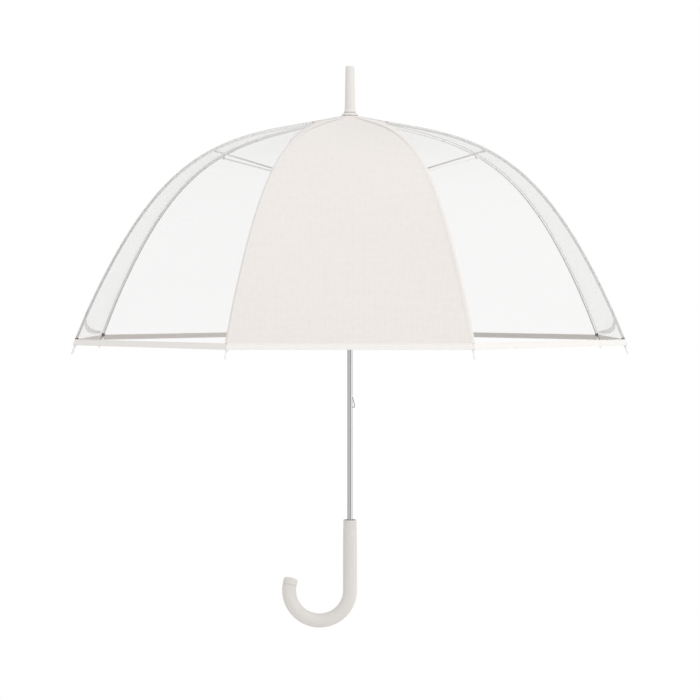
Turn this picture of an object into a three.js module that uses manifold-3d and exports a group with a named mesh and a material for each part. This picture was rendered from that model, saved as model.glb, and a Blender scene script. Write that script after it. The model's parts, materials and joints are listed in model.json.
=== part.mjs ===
// Dome stick umbrella with a crook handle, open, in millimetres, +Z up along the shaft.
// The origin is on the shaft's axis, at the middle of the straight grip of the handle.
// The front of the umbrella, the middle of panel 1, faces -Y, and the crook turns towards -X.

import * as THREE from 'three';
import { mergeVertices } from 'three/addons/utils/BufferGeometryUtils.js';
import Module from 'manifold-3d';

const wasm = await Module();
wasm.setup();

const DEGREE = Math.PI / 180;

// Fit
const GAP = 0.3; // left between pieces that touch
const SIDES = 20; // of a round piece

// Canopy: its outer surface follows one meridian curve, from the crown to the hem
const RIBS = 8;
const RIB_STEP = 360 / RIBS;
const CROWN_Z = 651.2; // where the meridian starts
const CROWN_RADIUS = 5.85;
const MERIDIAN_LENGTH = 570;
const CROWN_SLOPE = 13.1; // degrees below level
const HEM_SLOPE = 68.1;
const SLOPE_WAVES = [ -2.0, -8.5, -2.7 ]; // degrees of the sine terms: the slope changes most at mid length
const MERIDIAN_STEPS = 1140;
const SKIN = 0.3; // panel thickness
const PANEL_START = 0.5; // distances along the meridian
const PANEL_END = 563;
const HEM_START = 563.3;
const HEM_END = 572;
const HEM_THICKNESS = 0.7;
const HEM_PROUD = 0.3;
const SEAM_HALF_GAP = 0.4; // from a panel's edge to the rib's plane

// Ribs: a folded steel channel, open inwards, in an inner and an outer length
const RIB_DEPTH = 2.6; // from the canopy's outer surface to the channel's centre line
const RIB_WIDTH = 2.8;
const RIB_HEIGHT = 2.4;
const CHANNEL_WALL = 0.5;
const FLEX_AT = 290; // where the rib bends when the umbrella is folded
const FLEX_HALF_GAP = 0.7;
const RIB_START = 12;
const RIB_END = 566;
const BEAD_AT = 562;
const BEAD_RADIUS = 1.9;
const LENGTH_STEPS = 5; // straight steps in each length of rib and panel

// Rib tips
const TIP_START = 566.6;
const TIP_LENGTH = 17.4;
const TIP_DEPTH = 3.4;
const TIP_RADIUS = 1.9;
const TIP_SHOULDER = 5; // the length of the thick end that holds the rib
const TIP_NECK = 1.4; // the radius beyond the shoulder
const TIP_SIDES = 8;

// Flat eyes at the ends of ribs and stretchers
const EYE_RADIUS = 1.6;
const EYE_HOLE = 0.85;
const EYE_THICKNESS = 1.2;
const EYE_NECK = 0.9; // half the height of the plate where it enters the channel
const PIN_RADIUS = 0.5;

// Crown: notch, wire ring and cap
const PIVOT_RADIUS = 8.5;
const PIVOT_Z = CROWN_Z - 4.4;
const NOTCH_RADIUS = 11.5;
const NOTCH_TOP = CROWN_Z - 2.4;
const NOTCH_BOTTOM = CROWN_Z - 9;
const NOTCH_FOOT = 9; // the radius of its underside
const NOTCH_SLOT = 2.2;
const NOTCH_SLOT_FLOOR = 6.6;
const WIRE_GROOVE = 0.9; // half the width of the groove that the wire lies in
const CAP_RADIUS = 12.2;

// Shaft
const SHAFT_RADIUS = 4;
const SHAFT_BORE = 3.4;
const SHAFT_FIT = SHAFT_RADIUS + GAP;
const SHAFT_BOTTOM = -29.6;
const SHAFT_TOP = 703;

// Ferrule
const FERRULE_BOTTOM = CROWN_Z + 3.8;
const FERRULE_TOP = 723.2;
const FERRULE_FLANGE = 8.8;
const FERRULE_BASE = 7.6; // the radius just over the flange
const FERRULE_END = 6.6;

// Stretchers: pinned to the inner ribs, meeting the runner at its pivot circle
const STRETCHER_AT = 212;
const STRETCHER_DEPTH = 5.6;
const STRETCHER_WIDTH = 2.4;
const STRETCHER_HEIGHT = 2.0;
const PLATE_LENGTH = 8; // from an eye's centre into the channel
const PLATE_OVERLAP = 2;

// Runner
const RUNNER_PIVOT_RADIUS = 11;
const RUNNER_Z = CROWN_Z - 110; // its pivot circle with the umbrella open
const RUNNER_FLANGE = 13.5;
const RUNNER_SLEEVE = 7.2;
const RUNNER_FOOT = 8.2; // the radius of the ring at the bottom
const RUNNER_NECK = 9; // the radius where the sleeve meets the flange
const RUNNER_FLANGE_HALF = 3.4; // half the flange's height
const RUNNER_DROP = 40; // from the pivot circle to the sleeve's bottom
const RUNNER_RISE = 6;
const RUNNER_SLOT = 3.2;
const RUNNER_SLOT_FLOOR = 9;
const WINDOW_TOP = -6.4; // of the catch window, from the pivot circle
const WINDOW_BOTTOM = -24.4;
const WINDOW_HALF_WIDTH = 1.7;

// Spring catches: a bent strip in the shaft, with a hump that stands out through a slot
const CATCH_LEAF = 42; // from the fixed end to the hump's square edge
const CATCH_WIDTH = 2.2;
const CATCH_THICKNESS = 0.8;
const CATCH_INNER = 0.9; // from the shaft's axis to the leaf's inner face
const CATCH_REACH = 7; // from the shaft's axis to the hump's edge
const CATCH_EDGE = 4.2; // the length of the hump's flat top
const CATCH_HUMP = 21; // the hump's whole length
const CATCH_SLOT = 18.7; // the slot's length beyond the hump's square edge
const CATCH_CLEARANCE = 0.9;
const BOTTOM_CATCH_Z = 219.4; // the hump's square edge
const TOP_CATCH_Z = RUNNER_Z - RUNNER_DROP - 0.6;
const STOP_PIN_Z = RUNNER_Z + RUNNER_RISE + 1.6;
const STOP_PIN_RADIUS = 0.8;
const STOP_PIN_LENGTH = 11;

// Handle
const GRIP_TOP = 52.5;
const GRIP_RADIUS = 10;
const HOOK_Z = -52.5;
const HOOK_RADIUS = 10.4; // of the section
const HOOK_BEND = 45.2; // of the crook's centre line
const HOOK_SWEEP = 192;
const HOOK_STEPS = 16;
const END_CAP_LENGTH = 8.7;
const RECESS_RADIUS = 8.6;
const RECESS_DEPTH = 2.6;
const GROOVES = [ 48.6, 44.3, 41.1 ]; // heights of the rings round the grip's top
const GROOVE_DEPTH = 0.35;
const GROOVE_HALF_WIDTH = 0.5;

const white = { color: 0xece8e4, roughness: 0.85, metalness: 0 };
const handleWhite = { color: 0xe2dfdb, roughness: 0.55, metalness: 0 };
const plasticWhite = { color: 0xe6e3df, roughness: 0.45, metalness: 0 };
const clearFilm = { color: 0xf2f3f2, roughness: 0.08, metalness: 0, transparent: true, opacity: 0.3 };
const brightSteel = { color: 0xc4c4c2, roughness: 0.2, metalness: 1 };
const greySteel = { color: 0x9b9a98, roughness: 0.35, metalness: 1 };
const springSteel = { color: 0x55524e, roughness: 0.4, metalness: 1 };
const darkPlastic = { color: 0x6b6864, roughness: 0.6, metalness: 0 };

const umbrella = new THREE.Group();
const ribAzimuths = Array.from( { length: RIBS }, ( _, i ) => RIB_STEP * ( i + 0.5 ) );
const panelAzimuths = Array.from( { length: RIBS }, ( _, i ) => RIB_STEP * i );

function add( name, geometry, look, parent = umbrella ) {

	const mesh = new THREE.Mesh( geometry, new THREE.MeshStandardMaterial( look ) );
	mesh.name = name;
	parent.add( mesh );

}

// A group turned so that its +X points outwards at this azimuth. Azimuth 0 is the front, -Y.
function spoke( azimuth ) {

	const group = new THREE.Group();
	group.rotation.z = ( azimuth - 90 ) * DEGREE;
	umbrella.add( group );
	return group;

}

// A closed geometry as a Manifold, with its shared vertices merged.
function solid( geometry ) {

	const bare = geometry.clone();
	bare.deleteAttribute( 'normal' );
	bare.deleteAttribute( 'uv' );
	const merged = mergeVertices( bare, 1e-4 );
	return new wasm.Manifold( new wasm.Mesh( {
		numProp: 3,
		vertProperties: new Float32Array( merged.attributes.position.array ),
		triVerts: new Uint32Array( merged.index.array ),
	} ) );

}

// The boolean of closed geometries: a method of Manifold, applied from the first to the last.
function combine( method, geometries ) {

	const result = geometries.map( solid ).reduce( ( a, b ) => a[ method ]( b ) );
	const mesh = result.getMesh();
	const geometry = new THREE.BufferGeometry();
	geometry.setAttribute( 'position', new THREE.BufferAttribute( mesh.vertProperties, 3 ) );
	geometry.setIndex( new THREE.BufferAttribute( mesh.triVerts, 1 ) );
	geometry.computeVertexNormals();
	return geometry;

}

const join = ( ...geometries ) => combine( 'add', geometries );
const cut = ( ...geometries ) => combine( 'subtract', geometries );

// Six times the signed volume, which is negative when the faces point in.
function signedVolume( points, triangles ) {

	let sum = 0;

	for ( let i = 0; i < triangles.length; i += 3 ) {

		const [ a, b, c ] = [ 0, 1, 2 ].map( ( k ) => points[ triangles[ i + k ] ] );
		sum += a.dot( b.clone().cross( c ) );

	}

	return sum;

}

// A closed skin over a row of sections. Each section is a ring of points, and the outline says,
// in two dimensions, how the first and last rings are filled.
function loft( sections, outline ) {

	const count = outline.length;
	const points = sections.flat();
	let triangles = [];

	for ( let i = 0; i < sections.length - 1; i ++ ) {

		for ( let j = 0; j < count; j ++ ) {

			const a = i * count + j;
			const b = i * count + ( j + 1 ) % count;
			triangles.push( a, b, b + count, a, b + count, a + count );

		}

	}

	const last = ( sections.length - 1 ) * count;

	const fill = THREE.ShapeUtils.triangulateShape( outline, [] );
	if ( THREE.ShapeUtils.isClockWise( outline ) ) fill.forEach( ( face ) => face.reverse() );

	for ( const [ a, b, c ] of fill ) {

		triangles.push( c, b, a, last + a, last + b, last + c );

	}

	if ( signedVolume( points, triangles ) < 0 ) triangles = triangles.reverse();
	const geometry = new THREE.BufferGeometry().setFromPoints( points );
	geometry.setIndex( triangles );
	geometry.computeVertexNormals();
	return geometry;

}

// A turned piece about +Z, from an outline of [radius, height] pairs.
function turned( outline, sides = SIDES ) {

	const points = outline.map( ( [ radius, height ] ) => new THREE.Vector2( radius, height ) );
	const area = THREE.ShapeUtils.area( points );
	if ( area < 0 ) points.reverse();
	const onAxis = points[ 0 ].x === 0 && points.at( - 1 ).x === 0;
	const profile = onAxis ? points : [ ...points, points[ 0 ].clone() ];
	return new THREE.LatheGeometry( profile, sides ).rotateX( Math.PI / 2 );

}

// A flat plate that stands in the XZ plane, centred on y.
function plate( shape, thickness, y = 0, curveSegments = 4 ) {

	const options = { depth: thickness, bevelEnabled: false, curveSegments };
	const geometry = new THREE.ExtrudeGeometry( shape, options ).rotateX( Math.PI / 2 );
	return geometry.translate( 0, y + thickness / 2, 0 );

}

// A pin across the XZ plane.
function crossPin( centre, radius, length, sides = 8 ) {

	return new THREE.CylinderGeometry( radius, radius, length, sides ).translate( centre.x, 0, centre.y );

}

function box( low, high ) {

	const size = high.map( ( value, i ) => value - low[ i ] );
	const middle = high.map( ( value, i ) => ( value + low[ i ] ) / 2 );
	return new THREE.BoxGeometry( ...size ).translate( ...middle );

}

// The meridian

function slopeAt( distance ) {

	const t = distance / MERIDIAN_LENGTH;
	const waves = SLOPE_WAVES.map( ( size, i ) => size * Math.sin( ( i + 1 ) * Math.PI * t ) );
	const straight = CROWN_SLOPE + ( HEM_SLOPE - CROWN_SLOPE ) * t;
	return ( straight + waves.reduce( ( a, b ) => a + b ) ) * DEGREE;

}

// The point this far along the meridian and this deep under the canopy, as (radius, height).
function meridian( distance, depth = 0 ) {

	const point = new THREE.Vector2( CROWN_RADIUS, CROWN_Z );
	const steps = Math.max( 1, Math.round( MERIDIAN_STEPS * distance / MERIDIAN_LENGTH ) );

	for ( let i = 0; i < steps; i ++ ) {

		const slope = slopeAt( distance * ( i + 0.5 ) / steps );
		point.x += Math.cos( slope ) * distance / steps;
		point.y -= Math.sin( slope ) * distance / steps;

	}

	const slope = slopeAt( distance );
	return point.sub( new THREE.Vector2( Math.sin( slope ), Math.cos( slope ) ).multiplyScalar( depth ) );

}

function stations( start, end ) {

	return Array.from( { length: LENGTH_STEPS + 1 }, ( _, i ) => start + ( end - start ) * i / LENGTH_STEPS );

}

// Ribs

function channelOutline( width, height ) {

	const outer = width / 2;
	const inner = outer - CHANNEL_WALL;
	const top = height / 2;
	const web = top - CHANNEL_WALL;
	return [
		[ - outer, - top ], [ - outer, top ], [ outer, top ], [ outer, - top ],
		[ inner, - top ], [ inner, web ], [ - inner, web ], [ - inner, - top ],
	].map( ( [ x, y ] ) => new THREE.Vector2( x, y ) );

}

function ribChannel( start, end ) {

	const outline = channelOutline( RIB_WIDTH, RIB_HEIGHT );
	const sections = stations( start, end ).map( ( distance ) => outline.map( ( { x, y } ) => {

		const point = meridian( distance, RIB_DEPTH - y );
		return new THREE.Vector3( point.x, x, point.y );

	} ) );
	return loft( sections, outline );

}

// A plate with an eye round its first point and a neck that ends at its second point.
function eyePlate( eye, end ) {

	const angle = Math.atan2( end.y - eye.y, end.x - eye.x );
	const across = new THREE.Vector2( - Math.sin( angle ), Math.cos( angle ) ).multiplyScalar( EYE_NECK );
	const shape = new THREE.Shape();
	shape.moveTo( end.x - across.x, end.y - across.y );
	shape.lineTo( end.x + across.x, end.y + across.y );
	shape.absarc( eye.x, eye.y, EYE_RADIUS, angle + 60 * DEGREE, angle + 300 * DEGREE, false );
	shape.closePath();
	const hole = new THREE.Path();
	hole.absarc( eye.x, eye.y, EYE_HOLE, 0, 2 * Math.PI, true );
	shape.holes.push( hole );
	return plate( shape, EYE_THICKNESS );

}

const crownPivot = new THREE.Vector2( PIVOT_RADIUS, PIVOT_Z );
const stretcherPivot = meridian( STRETCHER_AT, STRETCHER_DEPTH );
const runnerPivot = new THREE.Vector2( RUNNER_PIVOT_RADIUS, RUNNER_Z );

// The two ears that hang from the rib's side walls, with the rivet that the stretcher turns on.
function stretcherLugs() {

	const top = meridian( STRETCHER_AT, RIB_DEPTH );
	const angle = Math.atan2( top.y - stretcherPivot.y, top.x - stretcherPivot.x );
	const side = new THREE.Vector2( - Math.sin( angle ), Math.cos( angle ) ).multiplyScalar( EYE_RADIUS );
	const shape = new THREE.Shape();
	shape.moveTo( top.x - side.x, top.y - side.y );
	shape.lineTo( top.x + side.x, top.y + side.y );
	shape.absarc( stretcherPivot.x, stretcherPivot.y, EYE_RADIUS, angle + Math.PI / 2, angle + 1.5 * Math.PI );
	shape.closePath();
	const earMiddle = ( RIB_WIDTH - CHANNEL_WALL ) / 2;
	const ears = [ - earMiddle, earMiddle ].map( ( y ) => plate( shape, CHANNEL_WALL, y ) );
	return [ ...ears, crossPin( stretcherPivot, PIN_RADIUS, RIB_WIDTH ) ];

}

function ribInner() {

	const channel = ribChannel( RIB_START, FLEX_AT - FLEX_HALF_GAP );
	const eye = eyePlate( crownPivot, meridian( RIB_START + PLATE_OVERLAP, RIB_DEPTH - CHANNEL_WALL ) );
	return join( channel, eye, ...stretcherLugs() );

}

function ribOuter() {

	const bead = new THREE.SphereGeometry( BEAD_RADIUS, TIP_SIDES, 6 );
	const centre = meridian( BEAD_AT, RIB_DEPTH + RIB_HEIGHT / 4 );
	bead.translate( centre.x, 0, centre.y );
	return join( ribChannel( FLEX_AT + FLEX_HALF_GAP, RIB_END ), bead );

}

function ribTip() {

	const outline = [
		[ 0, 0 ], [ TIP_RADIUS, 0 ], [ TIP_RADIUS, TIP_SHOULDER ], [ TIP_NECK, TIP_SHOULDER + 3 ],
		[ TIP_NECK, TIP_LENGTH - 0.6 ], [ TIP_NECK - 0.6, TIP_LENGTH ], [ 0, TIP_LENGTH ],
	];
	const start = meridian( TIP_START, TIP_DEPTH );
	const slope = slopeAt( MERIDIAN_LENGTH );
	const geometry = turned( outline, TIP_SIDES ).rotateY( Math.PI / 2 + slope );
	return geometry.translate( start.x, 0, start.y );

}

// A straight channel from the rib to the runner, with an eye at each end.
function stretcher() {

	const along = runnerPivot.clone().sub( stretcherPivot );
	const length = along.length();
	const step = ( distance ) => stretcherPivot.clone().addScaledVector( along, distance / length );
	const up = new THREE.Vector2( along.y, - along.x ).divideScalar( length );
	const outline = channelOutline( STRETCHER_WIDTH, STRETCHER_HEIGHT );
	const sections = [ PLATE_LENGTH - PLATE_OVERLAP, length - PLATE_LENGTH + PLATE_OVERLAP ].map(
		( distance ) => outline.map( ( { x, y } ) => {

			const point = step( distance ).addScaledVector( up, - y );
			return new THREE.Vector3( point.x, x, point.y );

		} ),
	);
	return join(
		loft( sections, outline ),
		eyePlate( stretcherPivot, step( PLATE_LENGTH ) ),
		eyePlate( runnerPivot, step( length - PLATE_LENGTH ) ),
	);

}

// Canopy

// A strip between two ribs, flat from rib to rib, from one distance along the meridian to another.
function strip( distances, top, thickness ) {

	const half = RIB_STEP / 2 * DEGREE;
	const sections = distances.map( ( distance ) => {

		const outer = meridian( distance, top );
		const inner = meridian( distance, top + thickness );
		return [ [ outer, - 1 ], [ outer, 1 ], [ inner, 1 ], [ inner, - 1 ] ].map( ( [ point, side ] ) => {

			const halfWidth = point.x * Math.sin( half ) - SEAM_HALF_GAP;
			return new THREE.Vector3( point.x * Math.cos( half ), side * halfWidth, point.y );

		} );

	} );
	const corners = [ [ 0, 0 ], [ 1, 0 ], [ 1, 1 ], [ 0, 1 ] ];
	return loft( sections, corners.map( ( [ x, y ] ) => new THREE.Vector2( x, y ) ) );

}

function canopyPanel() {

	const inner = stations( RIB_START, FLEX_AT );
	const outer = stations( FLEX_AT, RIB_END ).slice( 1, - 1 );
	return strip( [ PANEL_START, ...inner, ...outer, PANEL_END ], 0, SKIN );

}

// Crown

function crownNotch() {

	const outline = [
		[ SHAFT_FIT, NOTCH_BOTTOM ], [ NOTCH_FOOT, NOTCH_BOTTOM ], [ NOTCH_RADIUS, NOTCH_BOTTOM + 1.6 ],
		[ NOTCH_RADIUS, NOTCH_TOP ], [ PIVOT_RADIUS + WIRE_GROOVE, NOTCH_TOP ],
		[ PIVOT_RADIUS + WIRE_GROOVE, PIVOT_Z - 1 ], [ PIVOT_RADIUS - WIRE_GROOVE, PIVOT_Z - 1 ],
		[ PIVOT_RADIUS - WIRE_GROOVE, NOTCH_TOP ], [ SHAFT_FIT, NOTCH_TOP ],
	];
	const slots = ribAzimuths.map( ( azimuth ) => {

		const low = [ NOTCH_SLOT_FLOOR, - NOTCH_SLOT / 2, NOTCH_BOTTOM - 1 ];
		const high = [ NOTCH_RADIUS + 1, NOTCH_SLOT / 2, NOTCH_TOP + 1 ];
		return box( low, high ).rotateZ( ( azimuth - 90 ) * DEGREE );

	} );
	return cut( turned( outline ), ...slots );

}

function crownCap() {

	return turned( [
		[ SHAFT_FIT, CROWN_Z + 0.9 ], [ CAP_RADIUS - 0.4, CROWN_Z - 0.8 ], [ CAP_RADIUS, CROWN_Z - 0.2 ],
		[ CAP_RADIUS - 0.4, CROWN_Z + 1.4 ], [ CAP_RADIUS - 1.6, CROWN_Z + 2.6 ], [ 9, CROWN_Z + 3.4 ],
		[ SHAFT_FIT, CROWN_Z + 3.4 ],
	] );

}

function ferrule() {

	const z = FERRULE_BOTTOM;
	const boreTop = SHAFT_TOP + GAP;
	return turned( [
		[ 0, boreTop ], [ SHAFT_FIT, boreTop ], [ SHAFT_FIT, z ], [ FERRULE_FLANGE - 0.6, z ],
		[ FERRULE_FLANGE, z + 0.7 ], [ FERRULE_FLANGE - 0.2, z + 2.2 ], [ FERRULE_BASE + 0.3, z + 4.4 ],
		[ FERRULE_BASE, z + 8 ], [ FERRULE_END, FERRULE_TOP - 1.4 ], [ FERRULE_END - 0.4, FERRULE_TOP - 0.4 ],
		[ FERRULE_END - 1.2, FERRULE_TOP ], [ 0, FERRULE_TOP ],
	] );

}

// Shaft, catches and runner

function catchSlot( z, up ) {

	const ends = [ z - up * CATCH_CLEARANCE, z + up * CATCH_SLOT ];
	const halfWidth = CATCH_WIDTH / 2 + 0.5;
	return box( [ 1, - halfWidth, Math.min( ...ends ) ], [ CATCH_REACH, halfWidth, Math.max( ...ends ) ] );

}

function shaftTube() {

	const tube = turned( [
		[ SHAFT_BORE, SHAFT_BOTTOM ], [ SHAFT_RADIUS, SHAFT_BOTTOM ],
		[ SHAFT_RADIUS, SHAFT_TOP ], [ SHAFT_BORE, SHAFT_TOP ],
	] );
	const pinHole = crossPin( new THREE.Vector2( 0, STOP_PIN_Z ), STOP_PIN_RADIUS + GAP, 12 );
	return cut( tube, catchSlot( BOTTOM_CATCH_Z, 1 ), catchSlot( TOP_CATCH_Z, - 1 ), pinHole );

}

// The strip's fixed end is one leaf's length from the hump's square edge, which is at height z.
// up is 1 where the hump slopes away upwards, and -1 where it slopes away downwards.
function springCatch( z, up ) {

	const leaf = CATCH_INNER + CATCH_THICKNESS;
	const inside = CATCH_REACH - CATCH_THICKNESS;
	const outline = [
		[ CATCH_INNER, - CATCH_LEAF ], [ leaf, - CATCH_LEAF ], [ leaf, - 0.4 ], [ CATCH_REACH, 0 ],
		[ CATCH_REACH, CATCH_EDGE ], [ 2 * CATCH_INNER + CATCH_THICKNESS, CATCH_HUMP ],
		[ 2 * CATCH_INNER, CATCH_HUMP - 0.2 ], [ inside, CATCH_EDGE - 0.2 ], [ inside, 0.7 ], [ CATCH_INNER, 0.3 ],
	];
	const shape = new THREE.Shape( outline.map( ( [ x, height ] ) => new THREE.Vector2( x, z + up * height ) ) );
	return plate( shape, CATCH_WIDTH );

}

function runner() {

	const z = RUNNER_Z;
	const bottom = z - RUNNER_DROP;
	const body = turned( [
		[ SHAFT_FIT, bottom ], [ RUNNER_FOOT, bottom ], [ RUNNER_FOOT, bottom + 4 ],
		[ RUNNER_SLEEVE, bottom + 5.5 ], [ RUNNER_SLEEVE, z - 5.5 ], [ RUNNER_NECK, z - 4 ],
		[ RUNNER_FLANGE, z - RUNNER_FLANGE_HALF ], [ RUNNER_FLANGE, z + RUNNER_FLANGE_HALF ],
		[ RUNNER_NECK, z + 4 ], [ RUNNER_NECK - 1.4, z + RUNNER_RISE ], [ SHAFT_FIT, z + RUNNER_RISE ],
	] );
	const slots = ribAzimuths.map( ( azimuth ) => {

		const low = [ RUNNER_SLOT_FLOOR, - RUNNER_SLOT / 2, z - RUNNER_RISE - 2 ];
		const high = [ RUNNER_FLANGE + 1, RUNNER_SLOT / 2, z + RUNNER_RISE + 2 ];
		return box( low, high ).rotateZ( ( azimuth - 90 ) * DEGREE );

	} );
	const windowLow = [ SHAFT_RADIUS - 1, - WINDOW_HALF_WIDTH, z + WINDOW_BOTTOM ];
	const windowHigh = [ RUNNER_SLEEVE + 1, WINDOW_HALF_WIDTH, z + WINDOW_TOP ];
	const catchWindow = box( windowLow, windowHigh );
	return cut( body, ...slots, catchWindow );

}

// Handle

function circle( centre, across, radius, sides = SIDES ) {

	return Array.from( { length: sides }, ( _, i ) => {

		const angle = 2 * Math.PI * i / sides;
		const point = centre.clone().addScaledVector( across, radius * Math.cos( angle ) );
		point.y += radius * Math.sin( angle );
		return point;

	} );

}

// A point of the crook's centre line, and the direction across it, this many degrees round the bend.
function crook( degrees ) {

	const across = new THREE.Vector3( Math.cos( degrees * DEGREE ), 0, - Math.sin( degrees * DEGREE ) );
	const centre = new THREE.Vector3( - HOOK_BEND, 0, HOOK_Z ).addScaledVector( across, HOOK_BEND );
	return { centre, across };

}

// The handle's skin runs up the shaft's bore, over the rim and down the grip, then round the crook.
function handle() {

	const axis = new THREE.Vector3( 1, 0, 0 );
	const ring = ( radius, height ) => circle( new THREE.Vector3( 0, 0, height ), axis, radius );
	const recessFloor = GRIP_TOP - RECESS_DEPTH;
	const grooves = GROOVES.flatMap( ( height ) => [
		ring( GRIP_RADIUS, height + GROOVE_HALF_WIDTH ), ring( GRIP_RADIUS - GROOVE_DEPTH, height ),
		ring( GRIP_RADIUS, height - GROOVE_HALF_WIDTH ),
	] );
	const bends = Array.from( { length: HOOK_STEPS + 1 }, ( _, i ) => crook( HOOK_SWEEP * i / HOOK_STEPS ) );
	const sections = [
		ring( SHAFT_FIT, SHAFT_BOTTOM - GAP ), ring( SHAFT_FIT, recessFloor ), ring( RECESS_RADIUS, recessFloor ),
		ring( RECESS_RADIUS, GRIP_TOP - 0.5 ), ring( 9.2, GRIP_TOP ), ring( GRIP_RADIUS, GRIP_TOP - 0.8 ),
		...grooves, ring( GRIP_RADIUS, GROOVES.at( - 1 ) - 4 ),
		...bends.map( ( { centre, across } ) => circle( centre, across, HOOK_RADIUS ) ),
	];
	const outline = circle( new THREE.Vector3(), axis, 1 ).map( ( { x, y } ) => new THREE.Vector2( x, y ) );
	return loft( sections, outline );

}

function handleCollar() {

	const top = GRIP_TOP - 0.9;
	const bottom = GRIP_TOP - RECESS_DEPTH + GAP;
	const rim = RECESS_RADIUS - GAP;
	return turned( [ [ SHAFT_FIT, bottom ], [ rim, bottom ], [ rim, top ], [ SHAFT_FIT, top - 0.6 ] ] );

}

function handleEndCap() {

	const { centre, across } = crook( HOOK_SWEEP );
	const cap = turned( [
		[ 0, 0 ], [ HOOK_RADIUS, 0 ], [ HOOK_RADIUS, END_CAP_LENGTH - 3 ],
		[ HOOK_RADIUS - 0.9, END_CAP_LENGTH - 1 ], [ HOOK_RADIUS - 2.6, END_CAP_LENGTH ], [ 0, END_CAP_LENGTH ],
	] );
	cap.translate( 0, 0, GAP ).rotateY( Math.PI + HOOK_SWEEP * DEGREE );
	return cap.translate( centre.x, centre.y, centre.z );

}

// Assembly

add( 'shaft_tube', shaftTube(), brightSteel );
add( 'ferrule', ferrule(), plasticWhite );
add( 'crown_cap', crownCap(), plasticWhite );
add( 'crown_notch', crownNotch(), plasticWhite );
const crownWire = new THREE.TorusGeometry( PIVOT_RADIUS, PIN_RADIUS, 6, 24 );
add( 'crown_wire', crownWire.translate( 0, 0, PIVOT_Z ), greySteel );
const stopPinPlace = new THREE.Vector2( 0, STOP_PIN_Z );
add( 'stop_pin', crossPin( stopPinPlace, STOP_PIN_RADIUS, STOP_PIN_LENGTH, 12 ), greySteel );
add( 'handle', handle(), handleWhite );
add( 'handle_collar', handleCollar(), darkPlastic );
add( 'handle_end_cap', handleEndCap(), handleWhite );
add( 'top_catch', springCatch( TOP_CATCH_Z, - 1 ), springSteel );
add( 'bottom_catch', springCatch( BOTTOM_CATCH_Z, 1 ), springSteel );
add( 'runner', runner(), plasticWhite );

ribAzimuths.forEach( ( azimuth, i ) => {

	const group = spoke( azimuth );
	add( `rib_inner_${ i + 1 }`, ribInner(), greySteel, group );
	add( `rib_outer_${ i + 1 }`, ribOuter(), greySteel, group );
	add( `stretcher_${ i + 1 }`, stretcher(), greySteel, group );
	add( `rib_tip_${ i + 1 }`, ribTip(), plasticWhite, group );

} );

panelAzimuths.forEach( ( azimuth, i ) => {

	const group = spoke( azimuth );
	const look = azimuth % 180 === 0 ? white : clearFilm;
	add( `canopy_panel_${ i + 1 }`, canopyPanel(), look, group );
	add( `hem_tape_${ i + 1 }`, strip( [ HEM_START, HEM_END ], - HEM_PROUD, HEM_THICKNESS ), white, group );

} );

export default umbrella;
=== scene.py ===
"""Looks of an open dome stick umbrella: a white fabric strip over the top, clear film panels
round the sides, a steel channel frame, a steel shaft and a crook handle.

Lengths are in metres. Azimuth 0 is the front, -Y, and azimuth 90 is +X.
Distances "down the meridian" run from the crown to the hem, along the canopy's outer surface."""

import json
import math

import bmesh
import bpy
import numpy as np
from mathutils import Matrix, Vector


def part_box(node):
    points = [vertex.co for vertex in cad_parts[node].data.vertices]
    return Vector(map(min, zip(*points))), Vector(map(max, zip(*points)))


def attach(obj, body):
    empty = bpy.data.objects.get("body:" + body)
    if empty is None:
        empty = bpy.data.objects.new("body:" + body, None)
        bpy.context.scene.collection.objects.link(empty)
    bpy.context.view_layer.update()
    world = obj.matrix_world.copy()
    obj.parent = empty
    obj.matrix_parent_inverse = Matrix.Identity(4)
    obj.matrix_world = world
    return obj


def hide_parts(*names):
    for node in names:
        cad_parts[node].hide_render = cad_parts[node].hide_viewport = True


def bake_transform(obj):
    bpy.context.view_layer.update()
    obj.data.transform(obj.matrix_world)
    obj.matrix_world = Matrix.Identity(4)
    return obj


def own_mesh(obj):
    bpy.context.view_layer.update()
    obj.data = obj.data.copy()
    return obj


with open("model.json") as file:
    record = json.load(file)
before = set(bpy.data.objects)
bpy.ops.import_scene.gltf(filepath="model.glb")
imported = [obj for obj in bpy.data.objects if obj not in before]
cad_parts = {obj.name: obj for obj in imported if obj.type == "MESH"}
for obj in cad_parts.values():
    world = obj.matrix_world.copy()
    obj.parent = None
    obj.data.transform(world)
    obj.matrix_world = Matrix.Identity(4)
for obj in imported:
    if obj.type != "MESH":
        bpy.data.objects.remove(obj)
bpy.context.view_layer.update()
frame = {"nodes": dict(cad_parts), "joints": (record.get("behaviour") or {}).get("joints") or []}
joints = {j["name"]: j for j in frame["joints"]}

MM = 0.001
SHARP = math.radians(35)
PANELS = 8
HALF_PANEL = math.pi / PANELS
FABRIC_PANELS, SIDE_PANELS = (0, 4), (2, 6)
RIBS_BESIDE_FABRIC = (0, 3, 4, 7)

# The meridian, as the CAD canopy has it
CROWN_RADIUS = 5.85 * MM
PIVOT_UNDER_CROWN = 4.4 * MM
CROWN_Z = joints["rib_pivot_1"]["pos_m"][2] + PIVOT_UNDER_CROWN
MERIDIAN_LENGTH = 570 * MM
CROWN_SLOPE, HEM_SLOPE = 13.1, 68.1
SLOPE_WAVES = (-2.0, -8.5, -2.7)
FLEX = 290 * MM
CLOTH_START = 6 * MM
PANEL_END = 563 * MM
HEM_END = 572 * MM

THREAD_RADIUS = 0.22 * MM

# How the cloth is cut: a narrow edge beside each rib is a piece of its own, and between the edges this share
# of the width is left above and below the flex line and along the hem, so that it would fit between two ribs
# when folded
CLOTH_EDGE, CLOTH_EDGE_SHARE = 8 * MM, 0.4
CLOTH_ROWS, CLOTH_COLUMNS = 70, 49

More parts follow.
